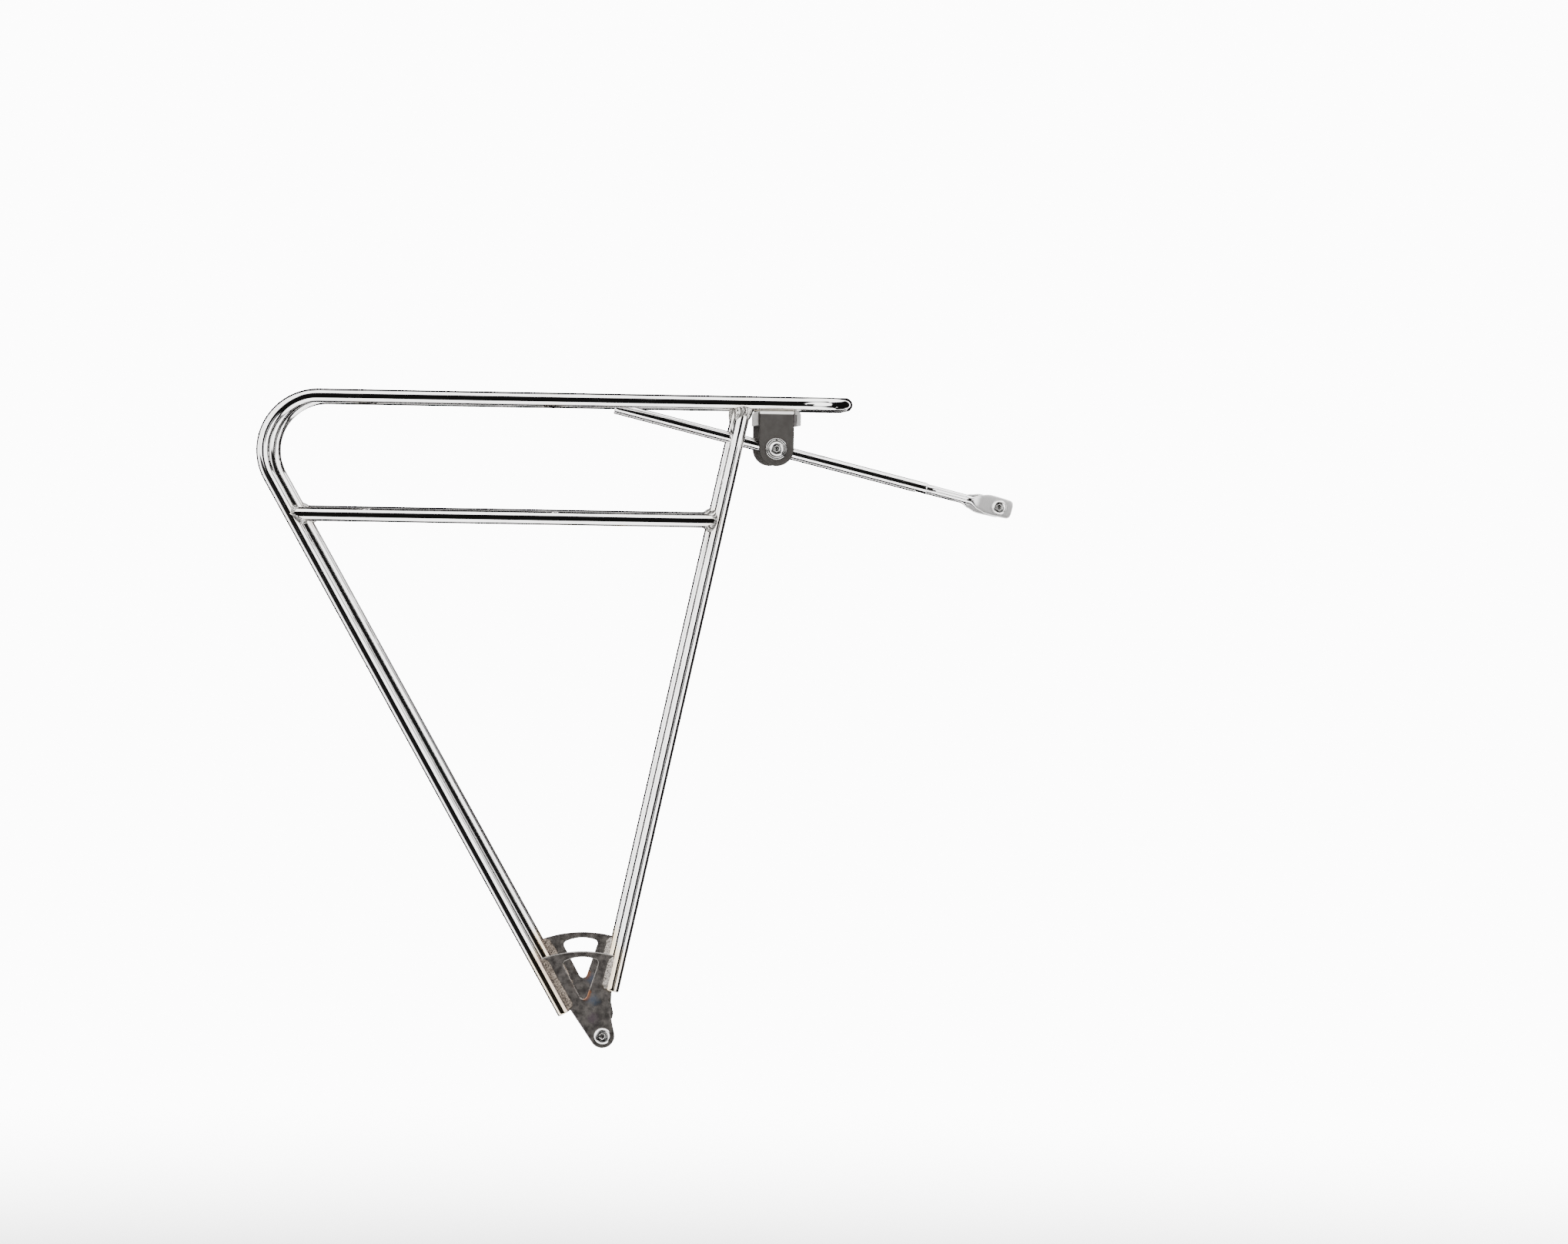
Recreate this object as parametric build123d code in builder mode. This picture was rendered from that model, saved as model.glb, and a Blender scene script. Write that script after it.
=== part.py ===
from build123d import *
import os
from math import acos, asin, atan2, cos, hypot, radians, sin

os.makedirs("parts", exist_ok=True)

# Rear rack of a touring bicycle: bent and welded stainless steel tube, two dropout plates,
# one folded stay bracket, and two adjustable stays that run forward to the seatstays.
#
# Frame: +X forwards, +Y to the bicycle's left, +Z up. The origin is midway between the two
# dropout bolts, on their common axis. Lengths are in millimetres and angles in degrees.
# Side pieces are drawn on the right (-Y) and mirrored to the left.

SIDES = ("right", "left")

# Tubing
tube_r = 4.0
tube_wall = 1.0
end_wall = 1.5              # closes the legs' lower ends
end_round = 0.8

# Deck: two rails, joined in front by a rounded nose
deck_z = 371.4
rail_y = 66.0
nose_x = 137.6
nose_bend_r = 28.0
cross_tube_x = {"rear": -147.6, "middle": -35.6, "front": 77.0}

# Rear legs: each goes on from its rail through one large bend, then straight to its plate
rear_bend_x = -171.5
rear_bend_r = 32.0
rear_leg_offset = 13.0      # from the dropout bolt's axis to the leg's centreline
rear_leg_rise = 22.0        # leg's end, measured along the leg from the point nearest the bolt

# Front legs: welded under the rails, cranked outwards just below them
front_leg_top_x = 77.9
front_leg_end = (5.2, 26.1)     # X, Z
crank_z = 349.5
crank_y = 69.5
crank_bend_r = 40.0

# Pannier rail on each side, between the two legs
lower_rail_z = 302.0

# Dropout plates
plate_y = 74.5              # middle of the plate's thickness
plate_t = 3.0
plate_edge_chamfer = 0.4
eyelet_r = 7.2
plate_top_z = 49.1
plate_rear_top_z = 43.4
plate_front_top_z = 46.2
waist = (4.5, 13.0)         # X, Z of the hollow in the front edge
waist_r = 9.0
window_corner_r = 2.4
window_rear_top = (-24.3, 42.4)
window_front_top = (-2.4, 44.0)
window_crown = (-12.5, 46.0)
window_foot = (-10.9, 17.8)

# M5 button-head bolts
bolt_r = 2.5
bolt_grip_r = 2.25          # plain part below the head where the thread is rolled
bolt_hole_r = 2.6
bolt_tip_chamfer = 0.5
head_dome = 0.7             # part of the head's height taken by its rounded rim
socket_flats = 3.0
socket_depth = 1.6
dropout_head_r = 5.1
dropout_head_h = 2.8
dropout_bolt_reach = 12.0   # thread that stands out on the inner side
clamp_head_r = 4.5
clamp_head_h = 2.7
end_head_r = 4.4
end_head_h = 2.6
end_bolt_reach = 12.0

# Stay bracket: one folded sheet under the front of the rails
sheet_t = 2.5
bracket_x = 97.8            # middle of the sheet
bracket_length = 25.4       # along X
lip_depth = 8.9             # over the sheet's outside
channel_half_width = 63.0
fold_outer_r = 3.0
tab_outer_y = 69.0
tab_width = 20.3
sheet_edge_chamfer = 0.4

# Stay clamps: the bolt through each tab is the pivot, and the stay slides through the eye
clamp_x = 96.2
clamp_z = 344.8
turning_gap = 0.15          # between the tab and what turns against it
washer_r = 6.2
washer_t = 1.0
washer_chamfer = 0.2
lock_washer_r = 5.2
lock_washer_t = 1.2
lock_washer_slit = 0.9
eye_r = 6.0
eye_inner_y = 51.0
eye_edge_r = 0.8
nut_thread_r = 2.55

# Stays
stay_r = 3.0
stay_bore_r = 3.06
stay_y = 57.0
stay_slope = 13.6
stay_tail = 97.0            # behind the clamp
stay_front = 91.7           # ahead of the clamp, where the thinner end piece begins
stay_edge_r = 0.5
neck_r = 2.5
neck_first_bend = 96.5
neck_second_bend = 116.0
neck_bend_r = 7.0
neck_end = 119.0
lug_y = 46.0
lug_t = 2.6
lug_start = 125.0
lug_start_width = 9.0
lug_width = 11.8
lug_widest = 130.4
lug_bolt = 136.3
lug_end = 144.1
lug_end_width = 10.6
lug_corner_r = 2.5

# ---------------------------------------------------------------- worked-out places

rear_bend_z = deck_z - rear_bend_r

# The rear leg is the common tangent of its bend and of a circle round the dropout bolt.
lean = atan2(-rear_bend_x, rear_bend_z) + asin(
    (rear_bend_r - rear_leg_offset) / hypot(rear_bend_x, rear_bend_z)
)
rear_corner_x = -(rear_leg_offset + sin(lean) * deck_z) / cos(lean)
rear_leg_end = (
    -rear_leg_offset * cos(lean) - rear_leg_rise * sin(lean),
    -rear_leg_offset * sin(lean) + rear_leg_rise * cos(lean),
)


def rear_leg_x(z):
    """X of the rear leg's centreline at a height."""
    return -(rear_leg_offset + sin(lean) * z) / cos(lean)


def front_leg_x(z):
    """X of the front leg's centreline at a height."""
    end_x, end_z = front_leg_end
    return end_x + (front_leg_top_x - end_x) * (z - end_z) / (deck_z - end_z)


def between(value, low, high, at_low, at_high):
    """Straight-line value between two known ones."""
    return at_low + (at_high - at_low) * (value - low) / (high - low)


def rear_leg_y(z):
    """Distance of the rear leg's centreline from the middle plane at a height."""
    return between(z, rear_leg_end[1], deck_z, plate_y, rail_y)


def front_leg_y(z):
    """Distance of the front leg's centreline from the middle plane, below the crank."""
    return between(z, front_leg_end[1], crank_z, plate_y, crank_y)


def tangent_point(point, radius, turn):
    """Where a line from a point touches a circle round the origin. Turn is +1 or -1."""
    x, z = point
    angle = atan2(z, x) + turn * acos(radius / hypot(x, z))
    return (radius * cos(angle), radius * sin(angle))


def ring_across(route, outer_r, inner_r=0.0):
    """Round section across the start of a route, hollow when it has an inner radius."""
    with BuildSketch(Plane(origin=route @ 0, z_dir=route % 0)) as section:
        Circle(outer_r)
        if inner_r > 0:
            Circle(inner_r, mode=Mode.SUBTRACT)
    return section.sketch


def end_disc(route, end):
    """Disc that closes a tube at the start (0) or the end (1) of its route."""
    with BuildPart() as disc:
        with BuildSketch(Plane(origin=route @ end, z_dir=route % end)):
            Circle(tube_r)
        extrude(amount=end_wall if end == 0 else -end_wall)
    return disc.part


def filled(route, radius):
    """The solid round bar inside a tube's outer surface, for coping what meets the tube."""
    with BuildPart() as bar:
        sweep(ring_across(route, radius), path=route)
    return bar.part


def button_bolt(seat, head_r, head_h, shank_length, grip=0.0):
    """Button-head bolt with a hexagon socket. The seat plane faces out through the head.

    The grip is a thinner plain part that starts at the seat, before the free thread.
    """
    with BuildPart() as bolt:
        with BuildSketch(seat):
            Circle(head_r)
        extrude(amount=head_h)
        rim = bolt.edges().filter_by(GeomType.CIRCLE).sort_by(Axis(seat.origin, seat.z_dir))[-1]
        fillet(rim, radius=head_h * head_dome)
        with BuildSketch(seat.offset(head_h)):
            RegularPolygon(radius=socket_flats / 2, side_count=6, major_radius=False)
        extrude(amount=-socket_depth, mode=Mode.SUBTRACT)
        with BuildSketch(seat):
            Circle(bolt_r)
        extrude(amount=-shank_length)
        tip = bolt.edges().filter_by(GeomType.CIRCLE).sort_by(Axis(seat.origin, seat.z_dir))[0]
        chamfer(tip, length=bolt_tip_chamfer)
        if grip > 0:
            with BuildSketch(seat):
                Circle(bolt_r)
                Circle(bolt_grip_r, mode=Mode.SUBTRACT)
            extrude(amount=-grip, mode=Mode.SUBTRACT)
    return bolt.part


def washer_ring(seat, outer_r, thickness):
    """Flat ring that fits round an M5 bolt, built outwards from the seat plane."""
    with BuildPart() as ring:
        with BuildSketch(seat):
            Circle(outer_r)
            Circle(bolt_hole_r, mode=Mode.SUBTRACT)
        extrude(amount=thickness)
        outer_rims = ring.edges().filter_by(GeomType.CIRCLE).group_by(SortBy.RADIUS)[-1]
        chamfer(outer_rims, length=washer_chamfer)
    return ring.part


# Dropout plate's corners
rear_leg_inner_end = (
    rear_leg_end[0] + tube_r * cos(lean),
    rear_leg_end[1] + tube_r * sin(lean),
)
rear_touch = tangent_point(rear_leg_inner_end, eyelet_r, 1)
front_touch = tangent_point(waist, eyelet_r, -1)
rear_top = (rear_leg_x(plate_rear_top_z), plate_rear_top_z)
front_top = (front_leg_x(plate_front_top_z), plate_front_top_z)
plate_crown = ((rear_top[0] + front_top[0]) / 2, plate_top_z)

# Clamp, from the tab outwards and inwards
washer_seat_y = tab_outer_y + turning_gap
lock_seat_y = washer_seat_y + washer_t
clamp_head_y = lock_seat_y + lock_washer_t
eye_outer_y = tab_outer_y - sheet_t - turning_gap
clamp_plane = Plane(origin=(clamp_x, 0, clamp_z), x_dir=(1, 0, 0), z_dir=(0, -1, 0))

# Right stay: local X runs forwards along it, local Y is up and local Z is outwards
stay_forward = (cos(radians(stay_slope)), 0, -sin(radians(stay_slope)))
stay_plane = Plane(origin=(clamp_x, 0, clamp_z), x_dir=stay_forward, z_dir=(0, -1, 0))
stay_section = Plane(
    origin=stay_plane.from_local_coords((0, 0, stay_y)), x_dir=(0, -1, 0), z_dir=stay_forward
)
lug_root_plane = Plane(
    origin=stay_plane.from_local_coords((lug_start, 0, lug_y)),
    x_dir=(0, -1, 0),
    z_dir=stay_forward,
)
lug_bolt_plane = Plane(
    origin=stay_plane.from_local_coords((lug_bolt, 0, lug_y + lug_t / 2)),
    x_dir=stay_forward,
    z_dir=(0, -1, 0),
)

# ---------------------------------------------------------------- routes of the tubes

with BuildLine() as main_line:
    FilletPolyline(
        (rear_leg_end[0], -plate_y, rear_leg_end[1]),
        (rear_corner_x, -rail_y, deck_z),
        (nose_x, -rail_y, deck_z),
        (nose_x, rail_y, deck_z),
        (rear_corner_x, rail_y, deck_z),
        (rear_leg_end[0], plate_y, rear_leg_end[1]),
        radius=[rear_bend_r, nose_bend_r, nose_bend_r, rear_bend_r],
    )
main_route = main_line.wire()

with BuildLine() as front_leg_line:
    FilletPolyline(
        (front_leg_end[0], -plate_y, front_leg_end[1]),
        (front_leg_x(crank_z), -crank_y, crank_z),
        (front_leg_top_x, -rail_y, deck_z),
        radius=crank_bend_r,
    )
front_leg_route = front_leg_line.wire()

with BuildLine() as lower_rail_line:
    Line(
        (rear_leg_x(lower_rail_z), -rear_leg_y(lower_rail_z), lower_rail_z),
        (front_leg_x(lower_rail_z), -front_leg_y(lower_rail_z), lower_rail_z),
    )
lower_rail_route = lower_rail_line.wire()

with BuildLine() as front_cross_line:
    Line((cross_tube_x["front"], -rail_y, deck_z), (cross_tube_x["front"], rail_y, deck_z))
front_cross_route = front_cross_line.wire()

with BuildLine() as neck_line:
    FilletPolyline(
        stay_plane.from_local_coords((stay_front, 0, stay_y)),
        stay_plane.from_local_coords((neck_first_bend, 0, stay_y)),
        stay_plane.from_local_coords((neck_second_bend, 0, lug_y)),
        stay_plane.from_local_coords((neck_end, 0, lug_y)),
        radius=neck_bend_r,
    )
neck_route = neck_line.wire()

main_bar = filled(main_route, tube_r)
front_leg_bar = filled(front_leg_route, tube_r)
front_cross_bar = filled(front_cross_route, tube_r)

# ---------------------------------------------------------------- deck

# One continuous tube: right leg, right rail, nose, left rail and left leg
with BuildPart() as main_tube:
    sweep(ring_across(main_route, tube_r, tube_r - tube_wall), path=main_route)
    add(end_disc(main_route, 0))
    add(end_disc(main_route, 1))
    fillet(main_tube.edges().filter_by(GeomType.CIRCLE).sort_by(Axis.Z)[:2], radius=end_round)
main_tube.part.label = "main_tube"
export_step(main_tube.part, "parts/main_tube.step")

# Three cross tubes, level with the rails and coped to them
for place, x in cross_tube_x.items():
    with BuildPart() as cross_tube:
        with BuildSketch(Plane(origin=(x, -rail_y, deck_z), z_dir=(0, 1, 0))):
            Circle(tube_r)
            Circle(tube_r - tube_wall, mode=Mode.SUBTRACT)
        extrude(amount=2 * rail_y)
        with BuildSketch(Plane.YZ.offset(x - 2 * tube_r)):
            with Locations((-rail_y, deck_z), (rail_y, deck_z)):
                Circle(tube_r)
        extrude(amount=4 * tube_r, mode=Mode.SUBTRACT)
    cross_tube.part.label = f"cross_tube_{place}"
    export_step(cross_tube.part, f"parts/cross_tube_{place}.step")

# Folded sheet under the rails: a channel with its lips down, and a tab at each end
sheet_top = deck_z - tube_r
with BuildPart() as stay_bracket:
    with BuildSketch(Plane.XZ.offset(-channel_half_width)):
        with Locations((bracket_x, sheet_top)):
            Rectangle(bracket_length, lip_depth, align=(Align.CENTER, Align.MAX))
        with Locations((bracket_x, sheet_top - sheet_t)):
            Rectangle(
                bracket_length - 2 * sheet_t,
                lip_depth,
                align=(Align.CENTER, Align.MAX),
                mode=Mode.SUBTRACT,
            )
    extrude(amount=2 * channel_half_width)
    fillet(stay_bracket.edges().filter_by(Axis.Y).group_by(Axis.Z)[-1], radius=fold_outer_r)
    for sign, outward in ((-1, Align.MIN), (1, Align.MAX)):
        with BuildSketch(Plane.YZ.offset(clamp_x - tab_width / 2)):
            with Locations((sign * tab_outer_y, sheet_top)):
                Rectangle(tab_outer_y - channel_half_width, sheet_t, align=(outward, Align.MAX))
                Rectangle(sheet_t, sheet_top - clamp_z, align=(outward, Align.MAX))
        extrude(amount=tab_width)
        end_edges = stay_bracket.edges().filter_by(Axis.X).group_by(Axis.Z)[-1]
        fillet(end_edges.sort_by(Axis((0, 0, 0), (0, sign, 0)))[-1], radius=fold_outer_r)
        with BuildSketch(Plane.XZ.offset(-sign * tab_outer_y)):
            with Locations((clamp_x, clamp_z)):
                Circle(tab_width / 2)
        extrude(amount=sign * sheet_t)
    with BuildSketch(Plane.XZ.offset(-tab_outer_y)):
        with Locations((clamp_x, clamp_z)):
            Circle(bolt_hole_r)
    extrude(amount=2 * tab_outer_y, mode=Mode.SUBTRACT)
    across = stay_bracket.faces().sort_by(Axis.Y)
    tab_outlines = [
        face.outer_wire().edges().sort_by(Axis.Z)[:-1] for face in (across[0], across[-1])
    ]
    chamfer(tab_outlines[0] + tab_outlines[1], length=sheet_edge_chamfer)
stay_bracket.part.label = "stay_bracket"
export_step(stay_bracket.part, "parts/stay_bracket.step")

# ---------------------------------------------------------------- pieces with two sides

for side in SIDES:

    # Front leg, coped to the rail above it and to the front cross tube
    with BuildPart() as front_leg:
        sweep(
            ring_across(front_leg_route, tube_r, tube_r - tube_wall), path=front_leg_route
        )
        add(end_disc(front_leg_route, 0))
        fillet(front_leg.edges().filter_by(GeomType.CIRCLE).sort_by(Axis.Z)[0], radius=end_round)
        add(main_bar, mode=Mode.SUBTRACT)
        add(front_cross_bar, mode=Mode.SUBTRACT)
        if side == "left":
            mirror(about=Plane.XZ, mode=Mode.REPLACE)
    front_leg.part.label = f"front_leg_{side}"
    export_step(front_leg.part, f"parts/front_leg_{side}.step")

    # Pannier rail, coped to both legs
    with BuildPart() as lower_rail:
        sweep(
            ring_across(lower_rail_route, tube_r, tube_r - tube_wall), path=lower_rail_route
        )
        add(main_bar, mode=Mode.SUBTRACT)
        add(front_leg_bar, mode=Mode.SUBTRACT)
        if side == "left":
            mirror(about=Plane.XZ, mode=Mode.REPLACE)
    lower_rail.part.label = f"lower_rail_{side}"
    export_step(lower_rail.part, f"parts/lower_rail_{side}.step")

    # Dropout plate between the legs, with a window and an eyelet
    with BuildPart() as dropout_plate:
        with BuildSketch(Plane.XZ.offset(plate_y - plate_t / 2)):
            with BuildLine():
                Polyline(rear_top, rear_leg_end, rear_leg_inner_end, rear_touch)
                ThreePointArc(rear_touch, (0, -eyelet_r), front_touch)
                Polyline(front_touch, waist, front_leg_end, front_top)
                ThreePointArc(front_top, plate_crown, rear_top)
            outline = make_face()
            fillet(outline.vertices().sort_by_distance((*waist, 0))[0], radius=waist_r)
            with BuildSketch(mode=Mode.SUBTRACT):
                with BuildLine():
                    ThreePointArc(window_rear_top, window_crown, window_front_top)
                    Polyline(window_front_top, window_foot, window_rear_top)
                window = make_face()
                fillet(window.vertices(), radius=window_corner_r)
            Circle(bolt_hole_r, mode=Mode.SUBTRACT)
        extrude(amount=plate_t)
        outer_face = dropout_plate.faces().sort_by(Axis.Y)[0]
        chamfer(outer_face.edges(), length=plate_edge_chamfer)
        add(main_bar, mode=Mode.SUBTRACT)
        add(front_leg_bar, mode=Mode.SUBTRACT)
        if side == "left":
            mirror(about=Plane.XZ, mode=Mode.REPLACE)
    dropout_plate.part.label = f"dropout_plate_{side}"
    export_step(dropout_plate.part, f"parts/dropout_plate_{side}.step")

    # Bolt through the eyelet, with its thread standing out on the inner side
    with BuildPart() as dropout_bolt:
        add(
            button_bolt(
                Plane.XZ.offset(plate_y + plate_t / 2),
                dropout_head_r,
                dropout_head_h,
                plate_t + dropout_bolt_reach,
                grip=plate_t,
            )
        )
        if side == "left":
            mirror(about=Plane.XZ, mode=Mode.REPLACE)
    dropout_bolt.part.label = f"dropout_bolt_{side}"
    export_step(dropout_bolt.part, f"parts/dropout_bolt_{side}.step")

    # Clamp at the tab: flat washer, split lock washer, bolt and eye nut turn together
    with BuildPart() as clamp_washer:
        add(washer_ring(clamp_plane.offset(washer_seat_y), washer_r, washer_t))
        if side == "left":
            mirror(about=Plane.XZ, mode=Mode.REPLACE)
    clamp_washer.part.label = f"clamp_washer_{side}"
    export_step(clamp_washer.part, f"parts/clamp_washer_{side}.step")

    with BuildPart() as lock_washer:
        add(washer_ring(clamp_plane.offset(lock_seat_y), lock_washer_r, lock_washer_t))
        with BuildSketch(clamp_plane.offset(lock_seat_y)):
            Rectangle(lock_washer_slit, 2 * lock_washer_r, align=(Align.CENTER, Align.MIN))
        extrude(amount=lock_washer_t, mode=Mode.SUBTRACT)
        if side == "left":
            mirror(about=Plane.XZ, mode=Mode.REPLACE)
    lock_washer.part.label = f"lock_washer_{side}"
    export_step(lock_washer.part, f"parts/lock_washer_{side}.step")

    with BuildPart() as clamp_bolt:
        add(
            button_bolt(
                clamp_plane.offset(clamp_head_y),
                clamp_head_r,
                clamp_head_h,
                clamp_head_y - stay_y - stay_bore_r,
            )
        )
        if side == "left":
            mirror(about=Plane.XZ, mode=Mode.REPLACE)
    clamp_bolt.part.label = f"clamp_bolt_{side}"
    export_step(clamp_bolt.part, f"parts/clamp_bolt_{side}.step")

    with BuildPart() as stay_eye:
        with BuildSketch(clamp_plane.offset(eye_inner_y)):
            Circle(eye_r)
        extrude(amount=eye_outer_y - eye_inner_y)
        fillet(stay_eye.edges().filter_by(GeomType.CIRCLE), radius=eye_edge_r)
        with BuildSketch(clamp_plane.offset(stay_y)):
            Circle(nut_thread_r)
        extrude(amount=eye_outer_y - stay_y, mode=Mode.SUBTRACT)
        with BuildSketch(stay_section.offset(-eye_r)):
            Circle(stay_bore_r)
        extrude(amount=2 * eye_r, mode=Mode.SUBTRACT)
        if side == "left":
            mirror(about=Plane.XZ, mode=Mode.REPLACE)
    stay_eye.part.label = f"stay_eye_{side}"
    export_step(stay_eye.part, f"parts/stay_eye_{side}.step")

    # Stay: a straight round bar that slides through the eye
    with BuildPart() as stay_bar:
        with BuildSketch(stay_section.offset(-stay_tail)):
            Circle(stay_r)
        extrude(amount=stay_tail + stay_front)
        fillet(stay_bar.edges().filter_by(GeomType.CIRCLE), radius=stay_edge_r)
        if side == "left":
            mirror(about=Plane.XZ, mode=Mode.REPLACE)
    stay_bar.part.label = f"stay_bar_{side}"
    export_step(stay_bar.part, f"parts/stay_bar_{side}.step")

    # Stay end: a thinner neck, bent inwards, then flattened to a lug for the seatstay bolt
    with BuildPart() as stay_end:
        sweep(ring_across(neck_route, neck_r), path=neck_route)
        with BuildSketch(Plane(origin=neck_route @ 1, z_dir=neck_route % 1)):
            Circle(neck_r)
        with BuildSketch(lug_root_plane):
            Rectangle(lug_t, lug_start_width)
        loft()
        with BuildSketch(stay_plane.offset(lug_y - lug_t / 2)):
            with BuildLine():
                ThreePointArc(
                    (lug_start, lug_start_width / 2),
                    (lug_widest, lug_width / 2),
                    (lug_end, lug_end_width / 2),
                )
                Line((lug_end, lug_end_width / 2), (lug_end, -lug_end_width / 2))
                ThreePointArc(
                    (lug_end, -lug_end_width / 2),
                    (lug_widest, -lug_width / 2),
                    (lug_start, -lug_start_width / 2),
                )
                Line((lug_start, -lug_start_width / 2), (lug_start, lug_start_width / 2))
            leaf = make_face()
            fillet(leaf.vertices().group_by(Axis.X)[-1], radius=lug_corner_r)
            with Locations((lug_bolt, 0)):
                Circle(bolt_hole_r, mode=Mode.SUBTRACT)
        extrude(amount=lug_t)
        if side == "left":
            mirror(about=Plane.XZ, mode=Mode.REPLACE)
    stay_end.part.label = f"stay_end_{side}"
    export_step(stay_end.part, f"parts/stay_end_{side}.step")

    with BuildPart() as end_bolt:
        add(
            button_bolt(
                lug_bolt_plane,
                end_head_r,
                end_head_h,
                lug_t + end_bolt_reach,
                grip=lug_t,
            )
        )
        if side == "left":
            mirror(about=Plane.XZ, mode=Mode.REPLACE)
    end_bolt.part.label = f"end_bolt_{side}"
    export_step(end_bolt.part, f"parts/end_bolt_{side}.step")
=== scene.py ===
import math

import bmesh
import bpy
import numpy as np
from mathutils import Matrix, Vector, kdtree, noise


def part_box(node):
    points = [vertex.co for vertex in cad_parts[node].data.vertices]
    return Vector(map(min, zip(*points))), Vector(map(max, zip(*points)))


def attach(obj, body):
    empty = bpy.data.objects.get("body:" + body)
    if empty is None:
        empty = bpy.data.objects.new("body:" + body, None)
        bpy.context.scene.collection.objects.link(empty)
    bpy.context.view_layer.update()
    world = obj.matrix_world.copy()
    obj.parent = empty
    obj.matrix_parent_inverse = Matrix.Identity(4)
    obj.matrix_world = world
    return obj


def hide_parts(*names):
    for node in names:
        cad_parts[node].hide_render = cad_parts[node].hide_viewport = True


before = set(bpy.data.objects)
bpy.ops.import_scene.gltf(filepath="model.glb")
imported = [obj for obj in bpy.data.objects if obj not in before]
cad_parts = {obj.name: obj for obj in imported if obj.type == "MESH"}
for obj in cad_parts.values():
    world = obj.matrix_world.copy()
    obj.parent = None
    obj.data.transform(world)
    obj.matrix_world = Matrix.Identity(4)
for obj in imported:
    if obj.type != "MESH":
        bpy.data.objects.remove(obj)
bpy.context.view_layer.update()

# Rear rack: polished stainless tube with rippled weld beads, ground dropout plates, a folded
# bracket, and two round stays in clamps. Lengths are in metres in the CAD's frame: +X forwards,
# +Y to the bicycle's left, +Z up. MM turns millimetres into metres.

MM = 0.001
SIDES = (("right", -1), ("left", 1))

# Sizes that the boxes of the CAD nodes don't give
NOSE_BEND_R = 28 * MM
REAR_BEND_R = 32 * MM
REAR_LEG_OFFSET = 13 * MM
REAR_LEG_RISE = 22 * MM
FRONT_LEG_TOP_X = 77.9 * MM
FRONT_LEG_END = (5.2 * MM, 26.1 * MM)
LEG_TOP_INSET = 2 * MM          # how far the legs' tops lie inside the rails; 0 in the part
CRANK_Y = 69.5 * MM
CRANK_Z = 349.5 * MM
CRANK_BEND_R = 40 * MM
TUBE_END_ROUND = 0.8 * MM
PLATE_REAR_TOP_Z = 43.4 * MM
PLATE_FRONT_TOP_Z = 46.2 * MM
STAY_SLOPE = math.radians(13.6)
STAY_TAIL = 97 * MM
STAY_FRONT = 91.7 * MM
STAY_R = 3 * MM
STAY_EDGE_R = 0.5 * MM
NECK_R = 2.5 * MM
NECK_BENDS = (96.5 * MM, 116 * MM)
NECK_END = 119 * MM
NECK_BEND_R = 7 * MM
TAB_HALF_WIDTH = 10.2 * MM      # of the bracket's hanging tabs
LUG_Y = 46 * MM
LUG_THICKNESS = 2.6 * MM
LUG_START = (125 * MM, 9 * MM)          # place along the stay, and width there
LUG_WIDEST = (130.4 * MM, 11.8 * MM)
LUG_END = (144.1 * MM, 10.6 * MM)
LUG_CORNER_R = 2.5 * MM
LUG_BOLT = 136.3 * MM
LUG_HOLE_R = 2.6 * MM
DROPOUT_HEAD = (5.1 * MM, 2.8 * MM)     # a bolt head's radius and height
CLAMP_HEAD = (4.5 * MM, 2.7 * MM)
END_HEAD = (4.4 * MM, 2.6 * MM)
HEAD_DOME = 0.7                 # share of a head's height that is domed
HEAD_EDGE = 0.15 * MM
BOLT_R = 2.5 * MM
BOLT_GRIP_R = 2.25 * MM
BOLT_TIP = 0.5 * MM
SOCKET_FLATS = 3 * MM
SOCKET_DEPTH = 1.6 * MM
SOCKET_CHAMFER = 0.2 * MM
SOCKET_FLOOR_R = 0.5 * MM
THREAD_PITCH = 0.8 * MM
THREAD_DEPTH = 0.4 * MM
THREAD_START = 0.05 * MM        # from the end of the smooth length to the thread
TIP_CHAMFER = 0.1 * MM

# Meshes
TUBE_SIDES = 64
LATHE_SIDES = 48
THREAD_STEPS = 8                # rings for each turn of a thread
RING_STEP = 2.5 * MM            # between two rings of a tube
NECK_STEP = 0.4 * MM            # between two rings of a stay's end
END_RINGS = 6                   # rings of a bar's rounded end
COPE_STEP = 0.3 * MM            # from a tube's outside to the rings of an end coped to it

# Weld beads
BEAD_PITCH = 1.45 * MM          # from one ripple to the next
BEAD_STEP = 0.2 * MM            # between two rings of a bead's mesh
BEAD_ROWS = 11                  # points across a bead
BEAD_RIPPLE = 0.11 * MM         # height of a ripple
BEAD_ROUGHNESS = 0.12 * MM      # height of the finer bumps
BEAD_UNEVEN = 0.22              # how much a bead's size wanders, as a share of it
BEAD_WOBBLE = 0.5               # how much the ripples wander, in ripples
BEAD_HAND = 180                 # noise per metre of the size and of the ripples
BEAD_GRAIN = 900                # noise per metre of the finer bumps
BEAD_CRESCENT = 0.9             # how far a ripple's middle runs ahead, in ripples
BEAD_TAPER = 2.5 * MM           # length over which an open bead's end thins out
BEAD_FLUSH = 0.6                # how much a bead shrinks where its two surfaces are flush
BEAD_SUNK = 0.08 * MM           # depth of a bead's edges in the two surfaces
BEAD_ROOT = 0.6 * MM            # depth of its hidden underside
BEAD_KINK_R = 1.5 * MM          # rounds a bead's path where two equal tubes are flush
TUBE_BEAD = (3.2 * MM, 2.6 * MM)        # reach on a tube's end, and on the tube it meets
LEG_TOP_BEAD = (6.5 * MM, 1.7 * MM)
PLATE_BEAD_INSET = 0.6 * MM
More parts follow.
